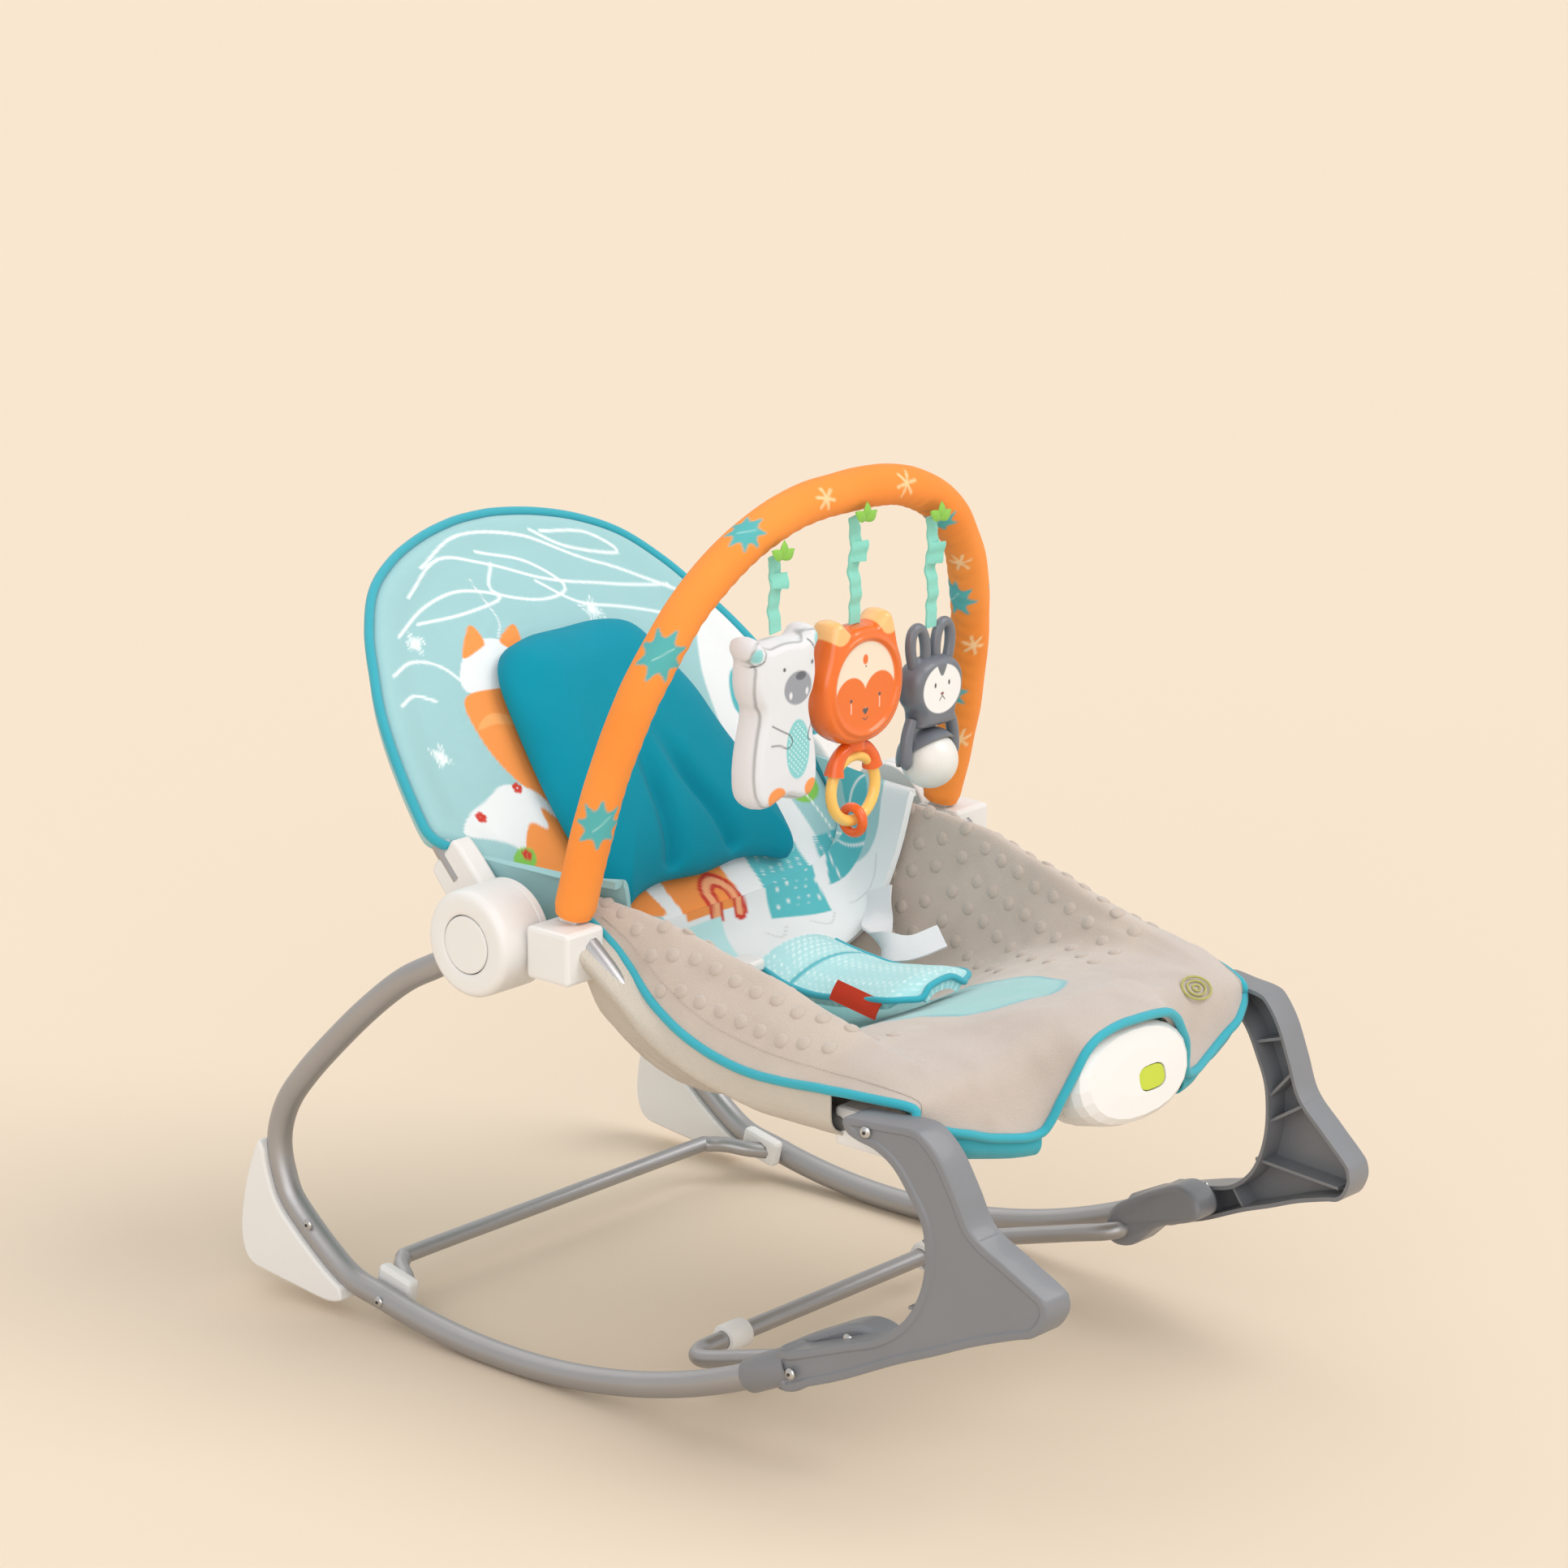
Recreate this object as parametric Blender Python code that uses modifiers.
"""Infant-to-toddler bouncer seat on a rocking tube frame, as separate named pieces.

Metres, +Z up, floor at Z = 0. X is left to right and the frame mirrors about X = 0.
The foot end of the seat faces -Y. Every piece that moves sits under an empty on its joint's axis.
"""

import math

import bmesh
import bpy
from mathutils import Matrix, Vector

# ---- driving dimensions -------------------------------------------------------------------------
GAP = 0.0003                      # clearance between pieces that touch
HALF_LENGTH = 0.3637              # toe tip to the middle, and rear bumper to the middle
HALF_TRACK = 0.213                # middle plane to a rocker tube's centreline
TUBE_R = 0.0093                   # rocker tube
ROCK_RADIUS = 0.58                # radius that the rocker centreline rolls on
CONTACT_Y = 0.103                 # where the rocker touches the floor
SEAT_TUBE_R = 0.008
BACK_TUBE_R = 0.008
CROSS_TUBE_R = 0.006
STAND_R = 0.0065                  # kickstand bar

RECLINE = (0.1006, 0.3235)        # hub axis, as (Y, Z)
BACK_LEAN = math.radians(47.0)    # backrest's rise from the floor
BACK_PLANE = -0.0227              # backrest's mid plane, behind the hub axis
HUB_R = 0.0385
HUB_IN, HUB_OUT = 0.2, 0.245      # the hub housing's inner and outer face, as |X|
CAP_R = 0.0212
CAP_TRAVEL = 0.004
ARM_IN, ARM_OUT = 0.1875, 0.1994
PIN_R = 0.005

SOCKET_BOX = ((0.1885, 0.0215, 0.304), (0.2255, 0.0612, 0.3415))
BAR_LEAN = -0.28                  # toy bar's forward slope, Y for each metre of Z
BAR_FOOT = (0.196, 0.0437, 0.347)
BAR_RISE = 0.276                  # foot to the crown's centreline
BAR_POWER = 2.5                   # roundness of the arch: 2 is an ellipse
SLEEVE_R, SLEEVE_BORE, CORE_R = 0.0145, 0.0062, 0.0055

STAND_PIVOT = (-0.1535, 0.062)    # kickstand hinge, as (Y, Z)
STAND_END = 0.1785                # where the bar's ends stop inside their housings, as |X|
STAND_BAR = (-0.0235, 0.0275)     # folded cross bar, as (Y, Z)

VIB_CENTRE = (0.0, -0.2735, 0.2545)
VIB_HALF = (0.061, 0.034)         # half width and half height of the oval
VIB_DEPTH = (0.024, 0.019)        # front shell and rear shell
VIB_WALL = 0.0024
VIB_TILT = math.radians(12.0)

TOY_X = {"bear": -0.083, "fox": 0.0, "rabbit": 0.083}
TOY_Y = -0.04

SIDES = (("left", -1), ("right", 1))


# ---- scene, materials and small helpers -----------------------------------------------------------
def clear_scene():
    for thing in list(bpy.data.objects):
        bpy.data.objects.remove(thing)
    for mesh in list(bpy.data.meshes):
        bpy.data.meshes.remove(mesh)


def collection(name):
    made = bpy.data.collections.new(name)
    bpy.context.scene.collection.children.link(made)
    return made


def material(name, color, roughness, metallic=0.0):
    made = bpy.data.materials.new(name)
    made.use_nodes = True
    shader = made.node_tree.nodes["Principled BSDF"]
    shader.inputs["Base Color"].default_value = (*color, 1.0)
    shader.inputs["Roughness"].default_value = roughness
    shader.inputs["Metallic"].default_value = metallic
    made.diffuse_color = (*color, 1.0)
    return made


def palette():
    return {
        "tube": material("tube_grey", (0.26, 0.26, 0.28), 0.38, 0.8),
        "leg": material("leg_grey", (0.21, 0.22, 0.24), 0.5),
        "white": material("white_plastic", (0.78, 0.76, 0.73), 0.4),
        "button": material("button_lime", (0.5, 0.62, 0.04), 0.35),
        "steel": material("bright_steel", (0.6, 0.6, 0.6), 0.3, 1.0),
        "teal": material("pillow_teal", (0.0, 0.27, 0.35), 0.9),
        "aqua": material("back_aqua", (0.45, 0.75, 0.76), 0.9),
        "minky": material("seat_minky", (0.52, 0.46, 0.41), 0.95),
        "web": material("webbing_white", (0.75, 0.78, 0.8), 0.8),
        "mint": material("strap_mint", (0.3, 0.7, 0.62), 0.85),
        "sleeve": material("sleeve_orange", (0.85, 0.26, 0.05), 0.85),
        "fox": material("toy_orange", (0.8, 0.15, 0.02), 0.3),
        "yellow": material("toy_yellow", (0.95, 0.6, 0.12), 0.35),
        "grey": material("toy_grey", (0.17, 0.18, 0.21), 0.5),
        "ball": material("toy_white", (0.75, 0.73, 0.7), 0.35),
        "plush": material("toy_plush", (0.85, 0.85, 0.86), 0.9),
        "battery": material("battery_wrap", (0.1, 0.1, 0.11), 0.5),
    }


def add(name, mesh, mat, parent=None, matrix=None):
    """A new object in the model's collection, with its origin where matrix puts it."""
    thing = bpy.data.objects.new(name, mesh)
    MODEL.objects.link(thing)
    mesh.materials.clear()
    mesh.materials.append(mat)
    if parent is not None:
        thing.parent = parent
        thing.matrix_parent_inverse = parent.matrix_world.inverted()
    if matrix is not None:
        thing.matrix_world = matrix
    bpy.context.view_layer.update()
    return thing


def pivot(name, place, parent=None):
    """An empty on a joint's axis, which the moving pieces hang under."""
    empty = bpy.data.objects.new(name, None)
    MODEL.objects.link(empty)
    if parent is not None:
        empty.parent = parent
        empty.matrix_parent_inverse = parent.matrix_world.inverted()
    empty.matrix_world = Matrix.Translation(place)
    bpy.context.view_layer.update()
    return empty


def smooth_path(points, step):
    """Points about a step apart on a smooth curve through the given ones."""
    p = [Vector(q) for q in points]
    p = [p[0] * 2 - p[1]] + p + [p[-1] * 2 - p[-2]]
    dense = []
    for i in range(1, len(p) - 2):
        for k in range(24):
            t = k / 24
            dense.append(0.5 * ((2 * p[i]) + (p[i + 1] - p[i - 1]) * t
                                + (2 * p[i - 1] - 5 * p[i] + 4 * p[i + 1] - p[i + 2]) * t * t
                                + (3 * p[i] - p[i - 1] - 3 * p[i + 1] + p[i + 2]) * t ** 3))
    dense.append(p[-2])
    return even(dense, step)


def even(dense, step):
    """The same line with its points evenly spaced, about a step apart."""
    run = [0.0]
    for a, b in zip(dense, dense[1:]):
        run.append(run[-1] + (b - a).length)
    count = max(2, round(run[-1] / step))
    out, j = [], 0
    for i in range(count + 1):
        goal = run[-1] * i / count
        while j < len(run) - 2 and run[j + 1] < goal:
            j += 1
        span = run[j + 1] - run[j] or 1.0
        out.append(dense[j].lerp(dense[j + 1], min(1.0, (goal - run[j]) / span)))
    return out


def curve_object(name, points, radius, sides=2, caps=True, cyclic=False):
    data = bpy.data.curves.new(name, "CURVE")
    data.dimensions = "3D"
    data.bevel_depth = radius
    data.bevel_resolution = sides
    data.use_fill_caps = caps
    spline = data.splines.new("POLY")
    spline.points.add(len(points) - 1)
    for point, place in zip(spline.points, points):
        point.co = (*place, 1.0)
    spline.use_cyclic_u = cyclic
    thing = bpy.data.objects.new(name, data)
    MODEL.objects.link(thing)
    bpy.context.view_layer.update()
    return thing


def to_mesh(curve, merge=1e-5):
    """The curve's evaluated shape as a welded mesh. The curve is removed."""
    mesh = bpy.data.meshes.new_from_object(curve.evaluated_get(bpy.context.evaluated_depsgraph_get()))
    mesh.transform(curve.matrix_world)
    work = bmesh.new()
    work.from_mesh(mesh)
    bmesh.ops.remove_doubles(work, verts=work.verts, dist=merge)
    bmesh.ops.recalc_face_normals(work, faces=work.faces)
    work.to_mesh(mesh)
    work.free()
    bpy.data.objects.remove(curve)
    return mesh


def smooth_shade(mesh, degrees=35):
    mesh.shade_smooth()
    mesh.set_sharp_from_angle(angle=math.radians(degrees))


def tube(name, points, radius, mat, parent=None, sides=2, cyclic=False):
    mesh = to_mesh(curve_object(name, points, radius, sides, caps=not cyclic, cyclic=cyclic))
    smooth_shade(mesh)
    return add(name, mesh, mat, parent)


TO_SIDE = Matrix(((0, 0, 1, 0), (1, 0, 0, 0), (0, 1, 0, 0), (0, 0, 0, 1)))     # outline (Y, Z), thick along X


def plate_mesh(name, outline, thickness, matrix):
    """A flat outline with its thickness, placed by matrix."""
    data = bpy.data.curves.new(name, "CURVE")
    data.dimensions = "2D"
    data.fill_mode = "BOTH"
    data.extrude = thickness / 2
    spline = data.splines.new("POLY")
    spline.points.add(len(outline) - 1)
    for point, (a, b) in zip(spline.points, outline):
        point.co = (a, b, 0.0, 1.0)
    spline.use_cyclic_u = True
    thing = bpy.data.objects.new(name, data)
    MODEL.objects.link(thing)
    thing.matrix_world = matrix
    bpy.context.view_layer.update()
    return to_mesh(thing)


def bevel(thing, width, segments=2, angle=40):
    mod = thing.modifiers.new("edge", "BEVEL")
    mod.width = width
    mod.segments = segments
    mod.limit_method = "ANGLE"
    mod.angle_limit = math.radians(angle)
    return mod


def cutter(name, mesh):
    thing = bpy.data.objects.new(name, mesh)
    CUTTERS.objects.link(thing)
    thing.hide_render = True
    thing.display_type = "WIRE"
    return thing


def cut(thing, tool):
    mod = thing.modifiers.new("cut_" + tool.name, "BOOLEAN")
    mod.operation = "DIFFERENCE"
    mod.object = tool
    mod.solver = "EXACT"


def join(thing, tool):
    mod = thing.modifiers.new("join_" + tool.name, "BOOLEAN")
    mod.operation = "UNION"
    mod.object = tool
    mod.solver = "EXACT"


def rod_mesh(name, start, end, radius, sides=20):
    """A plain cylinder from start to end."""
    start, end = Vector(start), Vector(end)
    work = bmesh.new()
    bmesh.ops.create_cone(work, cap_ends=True, segments=sides, radius1=radius, radius2=radius,
                          depth=(end - start).length)
    turn = (end - start).to_track_quat("Z", "Y").to_matrix().to_4x4()
    bmesh.ops.transform(work, verts=work.verts, matrix=Matrix.Translation((start + end) / 2) @ turn)
    mesh = bpy.data.meshes.new(name)
    work.to_mesh(mesh)
    work.free()
    smooth_shade(mesh)
    return mesh


def box_mesh(name, low, high):
    work = bmesh.new()
    bmesh.ops.create_cube(work, size=1.0)
    low, high = Vector(low), Vector(high)
    for v in work.verts:
        v.co = Vector(low[i] + (v.co[i] + 0.5) * (high[i] - low[i]) for i in range(3))
    mesh = bpy.data.meshes.new(name)
    work.to_mesh(mesh)
    work.free()
    return mesh


def turned(name, profile, mat, matrix, parent=None, steps=28):
    """A turned piece: profile is (radius, height) from the top, down the outside, to the bottom."""
    mesh = bpy.data.meshes.new(name)
    mesh.from_pydata([(r, 0.0, h) for r, h in profile], [(i, i + 1) for i in range(len(profile) - 1)], [])
    thing = add(name, mesh, mat, parent, matrix)
    mod = thing.modifiers.new("turn", "SCREW")
    mod.steps = mod.render_steps = steps
    mod.use_merge_vertices = True
    mod.merge_threshold = 0.00005
    mod.use_smooth_shade = True
    return thing


def outward(side, place):
    """Local +Z points away from the middle plane on that side."""
    return Matrix.Translation(place) @ Matrix.Rotation(side * math.pi / 2, 4, "Y")


def arc(centre, radius, start, end, count):
    """Points of an arc from start to end, in degrees."""
    return [(centre[0] + radius * math.cos(math.radians(start + (end - start) * i / count)),
             centre[1] + radius * math.sin(math.radians(start + (end - start) * i / count)))
            for i in range(count + 1)]


def oval(half_a, half_b, count, power=2.0):
    """A rounded outline: power 2 is an ellipse, and more is squarer."""
    out = []
    for i in range(count):
        t = 2 * math.pi * i / count
        c, s = math.cos(t), math.sin(t)
        out.append((math.copysign(abs(c) ** (2 / power), c) * half_a,
                    math.copysign(abs(s) ** (2 / power), s) * half_b))
    return out


def back_point(x, up, out=0.0):
    """A point of the backrest: up its slope from the hub axis, and out towards the sitter."""
    c, s = math.cos(BACK_LEAN), math.sin(BACK_LEAN)
    n = BACK_PLANE + out
    return Vector((x, RECLINE[0] + up * c - n * s, RECLINE[1] + up * s + n * c))


def bar_point(x, z):
    """A point in the toy bar's sloping plane."""
    return Vector((x, BAR_FOOT[1] + BAR_LEAN * (z - BAR_FOOT[2]), z))


# ---- frame ----------------------------------------------------------------------------------------
def rocker_line():
    """The rocker tube's centreline from the hub, round the back, to the leg, as (Y, Z)."""
    rear = [(0.1200, 0.3110), (0.1610, 0.2890), (0.1940, 0.2710), (0.2280, 0.2450), (0.2630, 0.2135),
            (0.2986, 0.1780), (0.3214, 0.1490), (0.3313, 0.1200), (0.3270, 0.0920), (0.3130, 0.0690)]
    roll = []
    for degrees in range(16, -29, -4):
        a = math.radians(degrees)
        roll.append((CONTACT_Y + ROCK_RADIUS * math.sin(a), TUBE_R + ROCK_RADIUS * (1 - math.cos(a))))
    return [Vector((y, z)) for y, z in rear + roll]


def rocker_tube(side, tag):
    line = smooth_path([(side * HALF_TRACK, p.x, p.y) for p in rocker_line()], 0.024)
    return tube(f"rocker_tube_{tag}", line, TUBE_R, MATS["tube"])


def rear_stop(side, tag):
    """The white bumper that fills the outside of the rocker's rear bend."""
    line = smooth_path([(0.0, p.x, p.y) for p in rocker_line()], 0.008)
    inner = []
    for a, b in zip(line, line[1:]):
        along = (b - a).normalized()
        out = Vector((0.0, -along.z, along.y))
        place = a + out * (TUBE_R + 0.0009)
        if 0.020 < a.z < 0.108 and a.y > 0.262:
            inner.append((place.y, place.z))
    rear = HALF_LENGTH
    outer = [(0.2640, 0.0125), (0.2760, 0.0098), (0.3360, 0.0160), (0.3530, 0.0190), (0.3620, 0.0290),
             (rear, 0.0490), (0.3560, 0.0890), (0.3470, 0.1060)]
    mesh = plate_mesh(f"rear_stop_{tag}", outer + inner, 0.024,
                      Matrix.Translation((side * HALF_TRACK, 0, 0)) @ TO_SIDE)
    return add(f"rear_stop_{tag}", mesh, MATS["white"])


def cross_tube_line():
    """The rear cross tube, clamp to clamp, with both ends bent forward."""
    half = [(HALF_TRACK - 0.0150, 0.2180, 0.0250), (0.1855, 0.2290, 0.0275), (0.1760, 0.2440, 0.0300),
            (0.1640, 0.2530, 0.0312), (0.1500, 0.2556, 0.0315)]
    points = [(-x, y, z) for x, y, z in half] + [(0.0, 0.2556, 0.0315)] + list(reversed(half))
    return smooth_path(points, 0.014)


def cross_tube_clamp(side, tag):
    """The white block between a rocker tube and the rear cross tube's end."""
    low = min(side * (HALF_TRACK - TUBE_R - GAP), side * (HALF_TRACK - 0.0202))
    high = max(side * (HALF_TRACK - TUBE_R - GAP), side * (HALF_TRACK - 0.0202))
    mesh = box_mesh(f"cross_tube_clamp_{tag}", (low, -0.0170, -0.0105), (high, 0.0170, 0.0105))
    mesh.transform(Matrix.Translation((0, 0.2250, 0.0275)) @ Matrix.Rotation(math.radians(12), 4, "X"))
    thing = add(f"cross_tube_clamp_{tag}", mesh, MATS["white"])
    bevel(thing, 0.003)
    ends = cross_tube_line()
    near = ends[:3] if side < 0 else ends[-3:]
    cut(thing, cutter(f"clamp_bore_{tag}", to_mesh(curve_object("bore", near, CROSS_TUBE_R + 0.0006, 2))))
    return thing


LEG_LEAN = 0.23                   # how much a leg closes in for each metre forward
LEG_ROOT = -0.1774                # Y where the lean starts
LEG_OUT, LEG_IN = 0.2225, 0.1985  # the leg's faces as |X| at its root


def leg_shift(y):
    return LEG_LEAN * max(0.0, LEG_ROOT - y)


def leg_outline():
    return [(-0.1660, 0.0880), (-0.1800, 0.0925), (-0.2160, 0.1052), (-0.2400, 0.1135), (-0.2560, 0.1250),
            (-0.2665, 0.1386), (-0.2737, 0.1572), (-0.2760, 0.1775), (-0.2735, 0.1996), (-0.2645, 0.2177),
            (-0.2530, 0.2353), (-0.2400, 0.2455), (-0.2270, 0.2500), (-0.2190, 0.2550), (-0.2180, 0.2650),
            (-0.2450, 0.2655), (-0.2640, 0.2655), (-0.2740, 0.2620), (-0.2874, 0.2472), (-0.2992, 0.2241),
            (-0.3109, 0.2000), (-0.3341, 0.1830), (-0.3590, 0.1660), (-HALF_LENGTH + 0.0006, 0.1600),
            (-HALF_LENGTH, 0.1520), (-0.3590, 0.1420), (-0.3519, 0.1358), (-0.3405, 0.1324),
            (-0.3118, 0.1221), (-0.2829, 0.1094), (-0.2537, 0.0971), (-0.2182, 0.0800), (-0.1943, 0.0704), (-0.1705, 0.0625)]


def front_leg(side, tag):
    """A moulded leg: a tray open towards the middle, cored out behind its outer wall."""
    mid = side * (LEG_OUT + LEG_IN) / 2
    mesh = plate_mesh(f"front_leg_{tag}", leg_outline(), LEG_OUT - LEG_IN,
                      Matrix.Translation((mid, 0, 0)) @ TO_SIDE)
    work = bmesh.new()
    work.from_mesh(mesh)
    bmesh.ops.dissolve_limit(work, angle_limit=0.01, verts=work.verts, edges=work.edges)
    inner = [f for f in work.faces if f.normal.x * side < -0.9]
    bmesh.ops.inset_region(work, faces=inner, thickness=0.0032, use_even_offset=True)
    bmesh.ops.translate(work, verts=list({v for f in inner for v in f.verts}), vec=(side * 0.019, 0, 0))
    bmesh.ops.triangulate(work, faces=work.faces)
    for v in work.verts:
        v.co.x -= side * leg_shift(v.co.y)
    work.to_mesh(mesh)
    work.free()
    leg = add(f"front_leg_{tag}", mesh, MATS["leg"])
    socket_start, socket_end = leg_socket_line(side)
    join(leg, cutter(f"socket_{tag}", rod_mesh("socket", socket_start, socket_end, TUBE_R + 0.0032, 24)))
    for number, (a, b) in enumerate((((-0.2760, 0.1700), (-0.3150, 0.1960)), ((-0.2650, 0.1380), (-0.3480, 0.1400)),
                                     ((-0.2400, 0.1130), (-0.2560, 0.0990)))):
        join(leg, cutter(f"rib_{number}_{tag}", rib_mesh(side, a, b)))
    bore = smooth_path([(side * HALF_TRACK, p.x, p.y) for p in rocker_line()[-5:]], 0.01)
    bore.append(bore[-1] * 2 - bore[-2])
    cut(leg, cutter(f"bore_{tag}", to_mesh(curve_object("bore", bore, TUBE_R + 0.0011, 2))))
    return leg


def leg_socket_line(side):
    """The collar that the rocker tube's end plugs into."""
    end = rocker_line()[-1]
    along = (end - rocker_line()[-2]).normalized()
    a, b = end - along * -0.006, end - along * 0.036
    return (side * HALF_TRACK, a.x, a.y), (side * HALF_TRACK, b.x, b.y)


def rib_mesh(side, a, b):
    """A thin rib across a leg's tray, from a to b in (Y, Z)."""
    a, b = Vector(a), Vector(b)
    along = (b - a).normalized()
    out = Vector((-along.y, along.x)) * 0.0011
    outline = [a - out, b - out, b + out, a + out]
    mesh = plate_mesh("rib", [(p.x, p.y) for p in outline], 0.019,
                      Matrix.Translation((side * (LEG_IN + 0.0125), 0, 0)) @ TO_SIDE)
    for v in mesh.vertices:
        v.co.x -= side * leg_shift(v.co.y)
    return mesh


SCREW_R = 0.0056


def screw(name, matrix):
    """A pan head with a round recess."""
    top = 0.36 * SCREW_R
    profile = [(0.0, top * 0.4), (SCREW_R * 0.4, top * 0.4), (SCREW_R * 0.5, top), (SCREW_R * 0.85, top * 0.7),
               (SCREW_R, 0.0), (0.0, 0.0)]
    return turned(name, profile, MATS["steel"], matrix, steps=12)


LEG_TOP_SCREW = (-0.2340, 0.2575)
LEG_SOCKET_SCREW = (-0.1810, 0.0775)


def leg_screws(side, tag):
    """The screw that holds the tube in its socket, and the one at the leg's top."""
    for name, (y, z), face in (("leg_top_screw", LEG_TOP_SCREW, LEG_OUT),
                               ("leg_socket_screw", LEG_SOCKET_SCREW, 0.2262)):
        lean = side * -math.atan(LEG_LEAN) if y < LEG_ROOT - 0.01 else 0.0
        place = Matrix.Translation((side * (face - leg_shift(y) + GAP), y, z)) @ Matrix.Rotation(lean, 4, "Z")
        screw(f"{name}_{tag}", place @ Matrix.Rotation(side * math.pi / 2, 4, "Y"))


def leg_bracket(side, tag):
    """The white block that carries the seat's side tube on the leg's top."""
    mesh = box_mesh(f"leg_bracket_{tag}", (-0.0115, -0.0230, -0.0160), (0.0115, 0.0230, 0.0120))
    mesh.transform(Matrix.Translation((side * 0.1735, -0.2080, 0.2465)))
    thing = add(f"leg_bracket_{tag}", mesh, MATS["white"])
    bevel(thing, 0.003)
    path = seat_tube_line()
    if side < 0:
        path = [Vector((-p.x, p.y, p.z)) for p in path]
    near = [p for p in path if -0.245 < p.y < -0.155 and p.x * side > 0.14]
    cut(thing, cutter(f"bracket_bore_{tag}", to_mesh(curve_object("bore", near, SEAT_TUBE_R + 0.0006, 3))))
    return thing


def seat_tube_half():
    return [(0.2000, 0.0290, 0.3300), (0.1995, 0.0120, 0.3160), (0.1970, -0.0100, 0.2950), (0.1930, -0.0400, 0.2740),
            (0.1900, -0.0800, 0.2590), (0.1870, -0.1150, 0.2515), (0.1830, -0.1500, 0.2480), (0.1775, -0.1950, 0.2465),
            (0.1725, -0.2180, 0.2460), (0.1600, -0.2330, 0.2460), (0.1400, -0.2380, 0.2460)]


def seat_tube_line():
    """The seat frame's tube from the left hub, round the front, to the right hub."""
    half = seat_tube_half()
    points = [(-x, y, z) for x, y, z in half] + [(0.0, -0.2380, 0.2460)] + list(reversed(half))
    return smooth_path(points, 0.021)


def hub_housing(side, tag):
    """The recline hub: a turned cover over the joint, bored for the rocker tube's end."""
    deep = HUB_OUT - 0.0115 - HUB_IN
    tall = HUB_OUT - HUB_IN
    rim = [(HUB_R - 0.005 + r, tall - 0.005 + h) for r, h in arc((0, 0), 0.005, 90, 0, 3)]
    profile = [(0.0, deep), (CAP_R + 0.0004, deep), (CAP_R + 0.0004, tall - 0.0006), (CAP_R + 0.0012, tall)]
    profile += rim + [(HUB_R, 0.0008), (HUB_R - 0.0008, 0.0), (0.0, 0.0)]
    thing = turned(f"hub_housing_{tag}", profile, MATS["white"],
                   outward(side, (side * HUB_IN, *RECLINE)), steps=28)
    line = smooth_path([(side * HALF_TRACK, p.x, p.y) for p in rocker_line()[:4]], 0.01)
    line.insert(0, line[0] + (line[0] - line[1]).normalized() * GAP)
    cut(thing, cutter(f"hub_bore_{tag}", to_mesh(curve_object("bore", line, TUBE_R + 0.0005, 3))))
    return thing


def recline_button(side, tag):
    """The round cap that is pressed in to free the backrest."""
    tall = 0.0072
    profile = [(0.0, tall), (CAP_R - 0.0020, tall), (CAP_R - 0.0005, tall - 0.0006), (CAP_R, tall - 0.0018),
               (CAP_R, 0.0004), (CAP_R - 0.0004, 0.0), (0.0, 0.0)]
    place = (side * (HUB_OUT + 0.0004 - tall), *RECLINE)
    empty = pivot(f"axis_recline_button_{tag}", place)
    return turned(f"recline_button_{tag}", profile, MATS["white"], outward(side, place), empty, steps=24)


def recline_pin(side, tag):
    """The headed pin that a back arm turns on."""
    reach = HUB_IN - GAP - 0.1847
    profile = [(0.0, reach), (PIN_R, reach), (PIN_R, 0.0024), (0.0095, 0.0024), (0.0095, 0.0006),
               (0.0088, 0.0), (0.0, 0.0)]
    return turned(f"recline_pin_{tag}", profile, MATS["steel"], outward(side, (side * 0.1847, *RECLINE)), steps=16)


def toy_bar_socket(side, tag):
    """The white box in front of the hub that the toy bar plugs into."""
    (x0, y0, z0), (x1, y1, z1) = SOCKET_BOX
    low, high = (min(side * x0, side * x1), y0, z0), (max(side * x0, side * x1), y1, z1)
    thing = add(f"toy_bar_socket_{tag}", box_mesh("box", low, high), MATS["white"])
    bevel(thing, 0.003)
    cut(thing, cutter(f"plug_slot_{tag}", plug_mesh(side, 0.0005, 0.012)))
    end = seat_tube_line()
    near = end[:3] if side < 0 else end[-3:]
    cut(thing, cutter(f"seat_bore_{tag}", to_mesh(curve_object("bore", near, SEAT_TUBE_R + 0.0005, 3))))
    return thing


# ---- kickstand ------------------------------------------------------------------------------------
def kickstand_housing(side, tag):
    """The grey housing on the leg's inner side that the kickstand turns in."""
    outline = [(-0.1400, 0.0500), (-0.1370, 0.0640), (-0.1430, 0.0760), (-0.1560, 0.0850), (-0.1820, 0.0990),
               (-0.2040, 0.1090), (-0.2180, 0.1090), (-0.2280, 0.1030), (-0.2300, 0.0930), (-0.2200, 0.0850),
               (-0.1850, 0.0700), (-0.1640, 0.0520), (-0.1500, 0.0470)]
    outer = LEG_IN - 0.0010
    mesh = plate_mesh(f"kickstand_housing_{tag}", outline, 0.026,
                      Matrix.Translation((side * (outer - 0.013), 0, 0)) @ TO_SIDE)
    for v in mesh.vertices:
        v.co.x -= side * leg_shift(v.co.y)
    thing = add(f"kickstand_housing_{tag}", mesh, MATS["leg"])
    bevel(thing, 0.004, 2)
    hole = rod_mesh("journal", (side * 0.160, *STAND_PIVOT), (side * (STAND_END + 0.0020), *STAND_PIVOT),
                    STAND_R + 0.0012, 20)
    cut(thing, cutter(f"journal_{tag}", hole))
    return thing


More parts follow.
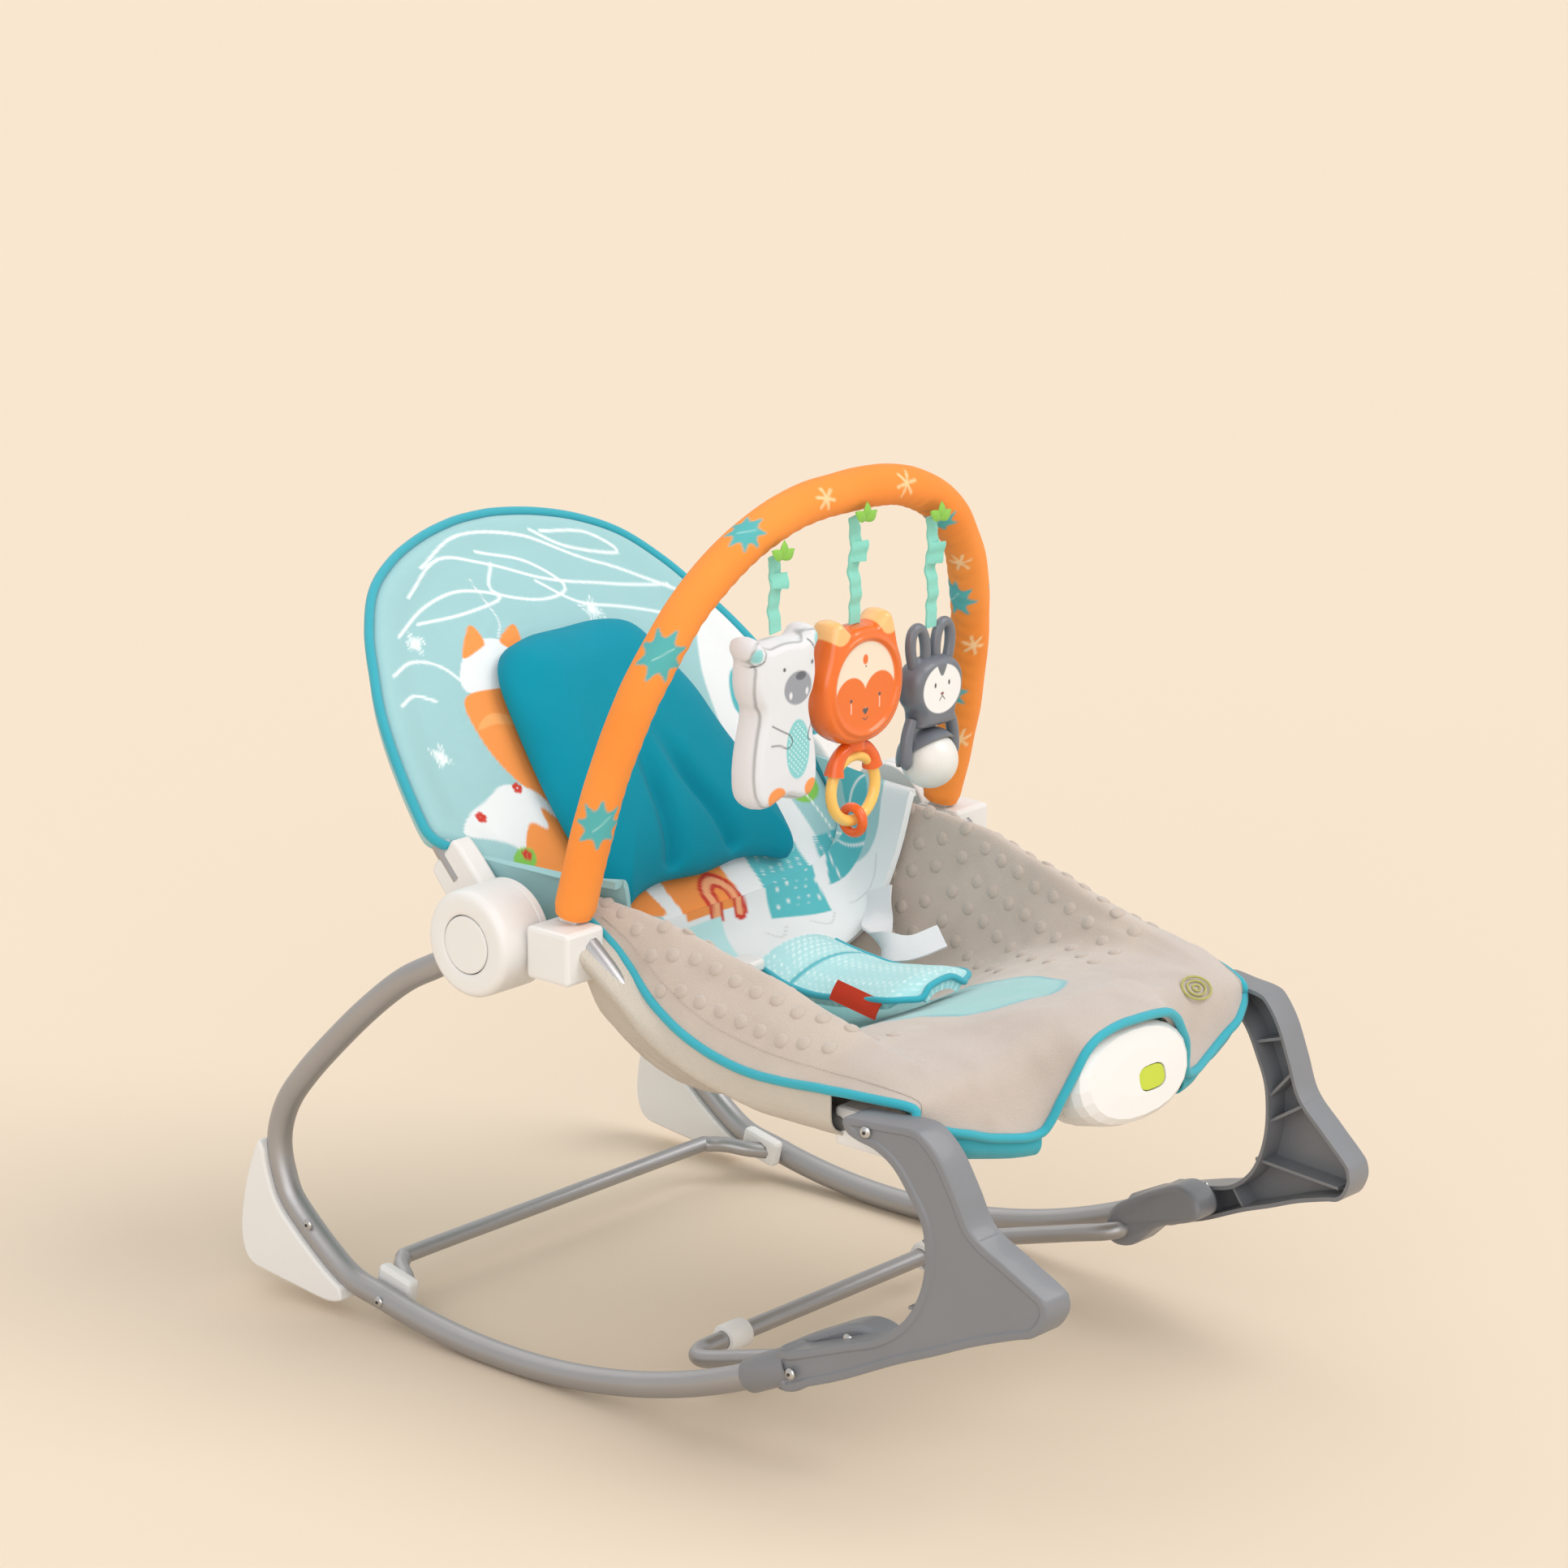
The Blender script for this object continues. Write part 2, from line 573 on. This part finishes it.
def kickstand(empty):
    """The folding bar: a wide loop whose two arms turn in the housings."""
    y0, z0 = STAND_PIVOT
    y1, z1 = STAND_BAR
    half = [(STAND_END, y0, z0), (0.1720, y0, z0), (0.1670, y0 + 0.0020, z0 - 0.0005),
            (0.1622, y0 + 0.0110, z0 - 0.0030), (0.1610, y0 + 0.0350, z0 - 0.0095),
            (0.1600, y1 - 0.0300, z1 + 0.0060), (0.1560, y1 - 0.0110, z1 + 0.0015), (0.1440, y1 - 0.0015, z1), (0.1250, y1, z1)]
    points = [(-x, y, z) for x, y, z in half] + [(0.0, y1, z1)] + list(reversed(half))
    bar = tube("kickstand_tube", smooth_path(points, 0.011), STAND_R, MATS["tube"], empty)
    for tag, side in SIDES:
        profile = [(STAND_R + 0.0004, 0.011), (STAND_R + 0.0036, 0.0105), (STAND_R + 0.0042, 0.0085),
                   (STAND_R + 0.0042, -0.0085), (STAND_R + 0.0036, -0.0105), (STAND_R + 0.0004, -0.011),
                   (STAND_R + 0.0004, 0.011)]
        place = (side * 0.1080, y1, z1)
        turned(f"kickstand_foot_{tag}", profile, MATS["white"], outward(side, place), empty, steps=20)
    return bar


# ---- backrest -------------------------------------------------------------------------------------
def back_arm(side, tag, empty):
    """The white arm between the hub's pin and the back frame's tube."""
    eye = [(RECLINE[0] + y, RECLINE[1] + z) for y, z in arc((0, 0), 0.0190, 150, 300, 8)]
    half_wide, tip = 0.0138, 0.0730
    front = back_point(0, tip, half_wide)
    rear = back_point(0, tip, -half_wide)
    waist = back_point(0, 0.0100, -half_wide)
    top = back_point(0, 0.0300, half_wide)
    outline = eye + [(waist.y, waist.z), (rear.y, rear.z), (front.y, front.z), (top.y, top.z)]
    mesh = plate_mesh(f"back_arm_{tag}", outline, ARM_OUT - ARM_IN,
                      Matrix.Translation((side * (ARM_IN + ARM_OUT) / 2, 0, 0)) @ TO_SIDE)
    thing = add(f"back_arm_{tag}", mesh, MATS["white"], empty)
    knuckle = rod_mesh("knuckle", back_point(side * 0.1925, 0.0450), back_point(side * 0.1925, tip), 0.0125, 20)
    join(thing, cutter(f"arm_knuckle_{tag}", knuckle))
    place = (side * 0.18, *RECLINE), (side * 0.21, *RECLINE)
    cut(thing, cutter(f"arm_eye_{tag}", rod_mesh("eye", *place, PIN_R + 0.0004, 24)))
    bore = rod_mesh("bore", back_point(side * 0.1925, 0.0540), back_point(side * 0.1925, tip + 0.01),
                    BACK_TUBE_R + 0.0006, 20)
    cut(thing, cutter(f"arm_bore_{tag}", bore))
    return thing


def back_tube_half():
    """The back frame's tube, as (half width, distance up the back)."""
    return [(0.1925, 0.0560), (0.1925, 0.0800), (0.1910, 0.1100), (0.1850, 0.1450), (0.1740, 0.1850),
            (0.1560, 0.2250), (0.1320, 0.2600), (0.1000, 0.2880), (0.0600, 0.3060), (0.0250, 0.3120)]


def back_frame_tube(empty):
    half = back_tube_half()
    flat = [(-x, u) for x, u in half] + [(0.0, 0.3130)] + list(reversed(half))
    return tube("back_frame_tube", smooth_path([back_point(x, u) for x, u in flat], 0.024), BACK_TUBE_R,
                MATS["tube"], empty)


def back_pad(empty):
    """A plain pad inside the back frame's loop."""
    inset = BACK_TUBE_R + 0.0035
    half = []
    for x, u in back_tube_half()[1:]:
        away = Vector((x, u - 0.11)).normalized() * inset
        half.append((min(x - away.x, 0.1760), u - away.y))
    low = [(0.1650, -0.0300), (0.1760, 0.0000), (0.1760, 0.0500)]
    side = low + half
    outline = side + [(0.0, 0.3130 - inset)] + [(-x, u) for x, u in reversed(side)]
    a, b = back_point(0, 0), back_point(0, 1)
    up = (b - a).normalized()
    out = Vector((1, 0, 0)).cross(up)
    turn = Matrix((Vector((1, 0, 0)), up, out)).transposed().to_4x4()
    mesh = plate_mesh("back_pad", outline, 0.014, Matrix.Translation(a) @ turn)
    thing = add("back_pad", mesh, MATS["aqua"], empty)
    bevel(thing, 0.004, 2)
    return thing


def head_pillow(empty):
    """A plain cushion in front of the backrest."""
    a, b = back_point(0, 0.118, 0.0285), back_point(0, 1, 0.0285)
    up = (b - a).normalized()
    turn = Matrix((Vector((1, 0, 0)), up, Vector((1, 0, 0)).cross(up))).transposed().to_4x4()
    outline = [(x * (1.0 - 0.9 * u), u) for x, u in oval(0.0930, 0.0980, 28, 3.0)]
    mesh = plate_mesh("head_pillow", outline, 0.036, Matrix.Translation(a) @ turn)
    thing = add("head_pillow", mesh, MATS["teal"], empty)
    bevel(thing, 0.014, 3)
    return thing


# ---- seat -----------------------------------------------------------------------------------------
def seat_sections():
    """Half sections of the seat's upper surface, from the lumbar edge to the front hem.

    Each is a list of (X, Y, Z) from the middle, up the wall, over the rim and down to the hem.
    """
    return [
        [(0.0, 0.0860, 0.2745), (0.045, 0.0860, 0.2745), (0.090, 0.0850, 0.2760), (0.130, 0.0790, 0.2860),
         (0.148, 0.0680, 0.3180), (0.158, 0.0600, 0.3460), (0.168, 0.0580, 0.3490), (0.177, 0.0540, 0.3440)],
        [(0.0, 0.0580, 0.2440), (0.045, 0.0580, 0.2440), (0.090, 0.0570, 0.2450), (0.130, 0.0540, 0.2600),
         (0.149, 0.0470, 0.3050), (0.159, 0.0400, 0.3460), (0.170, 0.0370, 0.3460), (0.179, 0.0350, 0.3370)],
        [(0.0, 0.0300, 0.2290), (0.045, 0.0300, 0.2290), (0.090, 0.0290, 0.2310), (0.131, 0.0260, 0.2500),
         (0.150, 0.0180, 0.3020), (0.160, 0.0120, 0.3450), (0.173, 0.0100, 0.3400), (0.183, 0.0080, 0.3230)],
        [(0.0, -0.0100, 0.2280), (0.045, -0.0100, 0.2280), (0.090, -0.0100, 0.2310), (0.132, -0.0150, 0.2510),
         (0.150, -0.0240, 0.2980), (0.161, -0.0300, 0.3410), (0.179, -0.0300, 0.3280), (0.193, -0.0300, 0.3000)],
        [(0.0, -0.0550, 0.2400), (0.045, -0.0550, 0.2400), (0.090, -0.0550, 0.2430), (0.132, -0.0600, 0.2620),
         (0.149, -0.0650, 0.3000), (0.160, -0.0700, 0.3320), (0.182, -0.0700, 0.3130), (0.199, -0.0700, 0.2840)],
        [(0.0, -0.1000, 0.2620), (0.045, -0.1000, 0.2620), (0.090, -0.1000, 0.2640), (0.130, -0.1050, 0.2770),
         (0.147, -0.1090, 0.3030), (0.158, -0.1120, 0.3220), (0.182, -0.1120, 0.3040), (0.200, -0.1120, 0.2750)],
        [(0.0, -0.1500, 0.2810), (0.045, -0.1500, 0.2810), (0.090, -0.1500, 0.2820), (0.130, -0.1500, 0.2870),
         (0.146, -0.1500, 0.3010), (0.158, -0.1500, 0.3100), (0.181, -0.1500, 0.2970), (0.199, -0.1500, 0.2740)],
        [(0.0, -0.1950, 0.2920), (0.045, -0.1950, 0.2910), (0.090, -0.1950, 0.2890), (0.130, -0.1950, 0.2890),
         (0.146, -0.1950, 0.2940), (0.158, -0.1950, 0.2980), (0.180, -0.1940, 0.2910), (0.197, -0.1930, 0.2770)],
        [(0.0, -0.2300, 0.3010), (0.045, -0.2300, 0.2990), (0.090, -0.2330, 0.2880), (0.130, -0.2330, 0.2870),
         (0.146, -0.2320, 0.2880), (0.157, -0.2310, 0.2880), (0.174, -0.2290, 0.2840), (0.188, -0.2270, 0.2760)],
        [(0.0, -0.2560, 0.3050), (0.045, -0.2560, 0.3020), (0.090, -0.2580, 0.2810), (0.130, -0.2570, 0.2770),
         (0.146, -0.2560, 0.2760), (0.155, -0.2540, 0.2750), (0.168, -0.2510, 0.2735), (0.178, -0.2480, 0.2715)],
    ]


SEAT_THICK = 0.008


def seat_pad():
    """The seat's padded shell: a floor between two wings that fold over the side tubes."""
    rows = []
    for half in seat_sections():
        rows.append([(-x, y, z) for x, y, z in reversed(half[1:])] + half)
    width = len(rows[0])
    verts = [p for row in rows for p in row]
    faces = []
    for i in range(len(rows) - 1):
        for j in range(width - 1):
            a = i * width + j
            faces.append((a, a + width, a + width + 1, a + 1))
    mesh = bpy.data.meshes.new("seat_pad")
    mesh.from_pydata(verts, [], faces)
    smooth_shade(mesh, 60)
    thing = add("seat_pad", mesh, MATS["minky"])
    mod = thing.modifiers.new("thick", "SOLIDIFY")
    mod.thickness = SEAT_THICK
    mod.offset = -1.0
    mod.use_even_offset = False
    return thing


def strap_mesh(name, points, width):
    """A flat strap along a path, with its width along X."""
    mesh = bpy.data.meshes.new(name)
    verts, faces = [], []
    for x, y, z in points:
        verts += [(x - width / 2, y, z), (x + width / 2, y, z)]
    for i in range(len(points) - 1):
        faces.append((2 * i, 2 * i + 1, 2 * i + 3, 2 * i + 2))
    mesh.from_pydata(verts, [], faces)
    return mesh


def thicken(thing, thickness, offset=0.0):
    mod = thing.modifiers.new("thick", "SOLIDIFY")
    mod.thickness = thickness
    mod.offset = offset
    return mod


def harness():
    """The crotch pad, its buckle and the two waist straps."""
    path = [(0.0, -0.1250, 0.2830), (0.0, -0.1000, 0.2760), (0.0, -0.0700, 0.2680), (0.0, -0.0400, 0.2640),
            (0.0, -0.0100, 0.2660), (0.0, 0.0150, 0.2720)]
    pad = add("crotch_pad", strap_mesh("crotch_pad", path, 0.088), MATS["aqua"])
    thicken(pad, 0.014, 1.0)
    buckle = add("harness_buckle", box_mesh("harness_buckle", (-0.0760, -0.0020, 0.2760), (-0.0460, 0.0220, 0.2850)),
                 MATS["ball"])
    bevel(buckle, 0.002)
    for tag, side in SIDES:
        half = [(0.1200, 0.0450, 0.2700), (0.0950, 0.0400, 0.2600), (0.0700, 0.0380, 0.2560)]
        points = [Vector((side * x, y, z)) for x, y, z in half]
        mesh = bpy.data.meshes.new(f"waist_strap_{tag}")
        verts = [(p.x, p.y + dy, p.z) for p in points for dy in (-0.0125, 0.0125)]
        faces = [(2 * i, 2 * i + 1, 2 * i + 3, 2 * i + 2) for i in range(len(points) - 1)]
        mesh.from_pydata(verts, [], faces)
        strap = add(f"waist_strap_{tag}", mesh, MATS["web"])
        thicken(strap, 0.0016)


# ---- vibration unit -------------------------------------------------------------------------------
def vib_frame():
    """Local X across, local Y up the face, local Z out of the face, which leans back a little."""
    turn = Matrix.Rotation(math.radians(90) - VIB_TILT, 4, "X")
    return Matrix.Translation(VIB_CENTRE) @ turn


def oval_tray(name, depth, mat, face_bulge, flip):
    """A shallow oval tray with a domed floor, open on the side of the split line."""
    sign = -1 if flip else 1
    work = bmesh.new()
    rings = [(1.0, 0.0), (1.0, depth * 0.55), (0.965, depth * 0.82), (0.86, depth), (0.45, depth + face_bulge)]
    loops = []
    for share, height in rings:
        loops.append([work.verts.new((a * share, b * share, sign * height))
                      for a, b in oval(*VIB_HALF, 24, 2.2)])
    wall = VIB_WALL
    inside = []
    for share, height in reversed([(1.0, 0.0), (1.0, depth * 0.55), (0.93, depth - wall)]):
        inside.append([work.verts.new((a * share, b * share, sign * height))
                       for a, b in oval(VIB_HALF[0] - wall, VIB_HALF[1] - wall, 24, 2.2)])
    for first, second in zip(loops, loops[1:]):
        bridge(work, first, second)
    for first, second in zip(inside, inside[1:]):
        bridge(work, first, second)
    work.faces.new(loops[-1])
    work.faces.new(inside[0])
    bridge(work, inside[-1], loops[0])
    bmesh.ops.recalc_face_normals(work, faces=work.faces)
    mesh = bpy.data.meshes.new(name)
    work.to_mesh(mesh)
    work.free()
    smooth_shade(mesh, 30)
    return add(name, mesh, mat, None, vib_frame())


def bridge(work, first, second):
    count = len(first)
    for i in range(count):
        work.faces.new((first[i], first[(i + 1) % count], second[(i + 1) % count], second[i]))


def vibration_unit():
    """The soothing unit on the seat's front: two shells, a button, a motor and a cell."""
    base = vib_frame()
    front = oval_tray("vibration_front_shell", VIB_DEPTH[0], MATS["white"], 0.0015, False)
    window = plate_mesh("window", oval(0.0145, 0.0088, 20, 3.0), 0.03,
                        base @ Matrix.Translation((0.012, -0.006, VIB_DEPTH[0])))
    cut(front, cutter("button_window", window))
    rear = oval_tray("vibration_rear_shell", VIB_DEPTH[1] - 0.002, MATS["white"], 0.0, True)
    rear.matrix_world = base @ Matrix.Translation((0, 0, -GAP * 2))
    door = plate_mesh("battery_door", oval(0.030, 0.0150, 20, 4.0), 0.0022,
                      base @ Matrix.Translation((0, 0, -VIB_DEPTH[1] - 0.0003)))
    add("battery_door", door, MATS["white"])

    place = base @ Matrix.Translation((0.012, -0.006, VIB_DEPTH[0] - 0.0058))
    empty = pivot("axis_vibration_button", place.to_translation())
    mesh = plate_mesh("vibration_button", oval(0.0138, 0.0081, 20, 3.0), 0.0130, place)
    thing = add("vibration_button", mesh, MATS["button"], empty)
    bevel(thing, 0.0012)

    cell = rod_mesh("battery_cell", base @ Vector((-0.010, 0.0, -0.0050)), base @ Vector((0.040, 0.0, -0.0050)),
                    0.0072, 16)
    add("battery_cell", cell, MATS["battery"])
    shaft = base @ Vector((-0.0200, 0.0, -0.0040))
    motor = rod_mesh("vibration_motor", shaft, shaft + Vector((-0.0200, 0.0, 0.0)), 0.0085, 20)
    add("vibration_motor", motor, MATS["steel"])
    hub = shaft + Vector((-0.0215, 0.0, 0.0))
    spin = pivot("axis_motor", hub)
    half_disc = [(0.0, 0.0)] + arc((0, 0), 0.0085, 180, 360, 10)
    weight = plate_mesh("motor_weight", half_disc, 0.0024,
                        Matrix.Translation(hub - Vector((0.0015, 0, 0))) @ TO_SIDE)
    add("motor_weight", weight, MATS["steel"], spin)


# ---- toy bar and toys -----------------------------------------------------------------------------
def bar_line():
    """The toy bar's centreline, foot to foot."""
    dense = []
    for i in range(121):
        t = math.pi * i / 120
        c, s = -math.cos(t), math.sin(t)
        x = math.copysign(abs(c) ** (2 / BAR_POWER), c) * BAR_FOOT[0]
        z = BAR_FOOT[2] + abs(s) ** (2 / BAR_POWER) * BAR_RISE
        dense.append(bar_point(x, z))
    return even(dense, 0.024)


def plug_mesh(side, grow=0.0, extra=0.0):
    """The tongue under a bar foot. grow and extra make its slot."""
    wide, deep, low, high = 0.0052 + grow, 0.0080 + grow, 0.3170 - grow, BAR_FOOT[2] - 0.0008 + extra
    mesh = box_mesh("plug", (-wide, -deep, low), (wide, deep, high))
    for v in mesh.vertices:
        if v.co.z > 0.33:
            v.co.z -= BAR_LEAN * v.co.y
        v.co.x += side * (BAR_FOOT[0] + 0.0010)
        v.co.y += bar_point(0, v.co.z).y - 0.0010
    return mesh


def toy_bar(empty):
    """A springy core in a padded sleeve, on two plugs."""
    line = bar_line()
    tube("toy_bar_core", line[1:-1], CORE_R, MATS["ball"], empty)
    shell = to_mesh(curve_object("toy_bar_sleeve", line, SLEEVE_R, 2, caps=False))
    smooth_shade(shell, 60)
    sleeve = add("toy_bar_sleeve", shell, MATS["sleeve"], empty)
    thicken(sleeve, SLEEVE_R - SLEEVE_BORE, -1.0)
    for tag, side in SIDES:
        plug = add(f"toy_bar_plug_{tag}", plug_mesh(side), MATS["ball"], empty)
        bevel(plug, 0.001)


def strap_top(x):
    """The point under the sleeve that a toy's strap hangs from."""
    share = (1 - (abs(x) / BAR_FOOT[0]) ** BAR_POWER) ** (1 / BAR_POWER)
    z = BAR_FOOT[2] + share * BAR_RISE
    return bar_point(x, z)


def toy_strap(name, x, top, bottom, mat, empty):
    """A flat fabric strap from the bar down to a toy."""
    points = [(x, TOY_Y, top), (x, TOY_Y - 0.0005, (top + bottom) / 2), (x, TOY_Y, bottom)]
    strap = add(name, strap_mesh(name, points, 0.013), mat, empty)
    thicken(strap, 0.0022)
    return strap


def flat_toy(name, outline, thickness, centre, mat, empty, round_off):
    """A toy body: an outline in X and Z with its thickness along Y."""
    face = Matrix(((1, 0, 0, 0), (0, 0, -1, 0), (0, 1, 0, 0), (0, 0, 0, 1)))
    mesh = plate_mesh(name, outline, thickness, Matrix.Translation(centre) @ face)
    thing = add(name, mesh, mat, empty)
    bevel(thing, round_off, 2, 30)
    return thing


def mirrored(half):
    """A closed outline from its right half, listed top to bottom."""
    return list(half) + [(-x, z) for x, z in reversed(half) if x > 1e-6]


def bear(bar):
    x = TOY_X["bear"]
    top = strap_top(x).z - SLEEVE_R - 0.004
    empty = pivot("axis_bear", (x, TOY_Y, top), bar)
    toy_strap("bear_strap", x, top, 0.5440, MATS["mint"], empty)
    half = [(0.0, 0.058), (0.012, 0.0585), (0.018, 0.063), (0.029, 0.062), (0.036, 0.053), (0.034, 0.040),
            (0.033, 0.024), (0.028, 0.012), (0.034, 0.002), (0.036, -0.016), (0.033, -0.034), (0.036, -0.048),
            (0.031, -0.060), (0.012, -0.060), (0.0, -0.056)]
    flat_toy("bear_toy", mirrored(half), 0.030, (x, TOY_Y, 0.4790), MATS["plush"], empty, 0.008)


def torus(name, centre, major, minor, mat, empty, axis="Y", steps=28, sides=8):
    bpy.ops.mesh.primitive_torus_add(major_segments=steps, minor_segments=sides, major_radius=major,
                                     minor_radius=minor, location=(0, 0, 0))
    made = bpy.context.active_object
    mesh = made.data.copy()
    bpy.data.objects.remove(made)
    turn = {"Y": Matrix.Rotation(math.pi / 2, 4, "X"), "X": Matrix.Rotation(math.pi / 2, 4, "Y")}[axis]
    mesh.transform(Matrix.Translation(centre) @ turn)
    smooth_shade(mesh, 60)
    return add(name, mesh, mat, empty)


FOX_HEAD = (0.0, TOY_Y, 0.4870)
FOX_RING_R = 0.0235
FOX_TUNNEL_Z = 0.4335


def fox(bar):
    """A disc-headed toy with a teething ring, and a small ring on that."""
    x, y, z = FOX_HEAD
    top = strap_top(x).z - SLEEVE_R - 0.004
    empty = pivot("axis_fox", (x, y, top), bar)
    toy_strap("fox_strap", x, top, 0.5420, MATS["mint"], empty)
    half = [(0.0, 0.0400), (0.013, 0.0395), (0.021, 0.0470), (0.030, 0.0470), (0.0335, 0.0300), (0.0400, 0.0180),
            (0.0430, 0.0), (0.0400, -0.0180), (0.0310, -0.0310), (0.0170, -0.0400), (0.0105, -0.0460),
            (0.0105, -0.0635)]
    body = flat_toy("fox_toy", mirrored(half), 0.0280, FOX_HEAD, MATS["fox"], empty, 0.0025)
    tunnel = rod_mesh("tunnel", (-0.03, y, FOX_TUNNEL_Z), (0.03, y, FOX_TUNNEL_Z), 0.0064, 18)
    cut(body, cutter("fox_tunnel", tunnel))
    ring_hinge = pivot("axis_fox_ring", (x, y, FOX_TUNNEL_Z), empty)
    middle = FOX_TUNNEL_Z - FOX_RING_R + 0.0012
    torus("fox_ring", (x, y, middle), FOX_RING_R, 0.0042, MATS["yellow"], ring_hinge, "Y", 26)
    bead = pivot("axis_fox_bead", (x, y, middle), ring_hinge)
    torus("fox_bead", (x, y, middle - FOX_RING_R), 0.0090, 0.0036, MATS["fox"], bead, "X", 18, 6)


RABBIT_BALL = (TOY_X["rabbit"], TOY_Y, 0.4150)
BALL_R = 0.0210


def rabbit(bar):
    """An eared toy that holds a rolling ball between its paws."""
    x, y, _ = RABBIT_BALL
    top = strap_top(x).z - SLEEVE_R - 0.004
    empty = pivot("axis_rabbit", (x, y, top), bar)
    toy_strap("rabbit_strap", x, top, 0.5180, MATS["mint"], empty)
    half = [(0.0, 0.0260), (0.0060, 0.0290), (0.0120, 0.0520), (0.0240, 0.0520), (0.0270, 0.0340), (0.0230, 0.0160),
            (0.0270, 0.0020), (0.0240, -0.0140), (0.0190, -0.0200), (0.0270, -0.0300), (0.0285, -0.0440),
            (0.0280, -0.0540), (0.0245, -0.0575), (0.0, -0.0580)]
    body = flat_toy("rabbit_toy", mirrored(half), 0.0240, (x, y, 0.4640), MATS["grey"], empty, 0.003)
    room = bmesh.new()
    bmesh.ops.create_uvsphere(room, u_segments=14, v_segments=8, radius=BALL_R + 0.0018)
    bmesh.ops.translate(room, verts=room.verts, vec=RABBIT_BALL)
    mesh = bpy.data.meshes.new("ball_room")
    room.to_mesh(mesh)
    room.free()
    cut(body, cutter("ball_room", mesh))
    spin = pivot("axis_rabbit_ball", RABBIT_BALL, empty)
    ball = bmesh.new()
    bmesh.ops.create_uvsphere(ball, u_segments=16, v_segments=10, radius=BALL_R)
    bmesh.ops.transform(ball, verts=ball.verts,
                        matrix=Matrix.Translation(RABBIT_BALL) @ Matrix.Rotation(math.pi / 2, 4, "Y"))
    mesh = bpy.data.meshes.new("rabbit_ball")
    ball.to_mesh(mesh)
    ball.free()
    smooth_shade(mesh, 60)
    add("rabbit_ball", mesh, MATS["ball"], spin)


# ---- assembly -------------------------------------------------------------------------------------
clear_scene()
MODEL = collection("bouncer_seat")
CUTTERS = collection("cutters")
MATS = palette()

for tag, side in SIDES:
    rocker_tube(side, tag)
    rear_stop(side, tag)
    cross_tube_clamp(side, tag)
    front_leg(side, tag)
    leg_screws(side, tag)
    leg_bracket(side, tag)
    kickstand_housing(side, tag)
    hub_housing(side, tag)
    recline_button(side, tag)
    recline_pin(side, tag)
    toy_bar_socket(side, tag)
tube("rear_cross_tube", cross_tube_line(), CROSS_TUBE_R, MATS["tube"])
tube("seat_frame_tube", seat_tube_line(), SEAT_TUBE_R, MATS["tube"])
kickstand(pivot("axis_kickstand", (0, *STAND_PIVOT)))

backrest = pivot("axis_backrest", (0, *RECLINE))
for tag, side in SIDES:
    back_arm(side, tag, backrest)
back_frame_tube(backrest)
back_pad(backrest)
head_pillow(backrest)

seat_pad()
harness()
vibration_unit()

lift = pivot("axis_toy_bar", BAR_FOOT)
toy_bar(lift)
bear(lift)
fox(lift)
rabbit(lift)
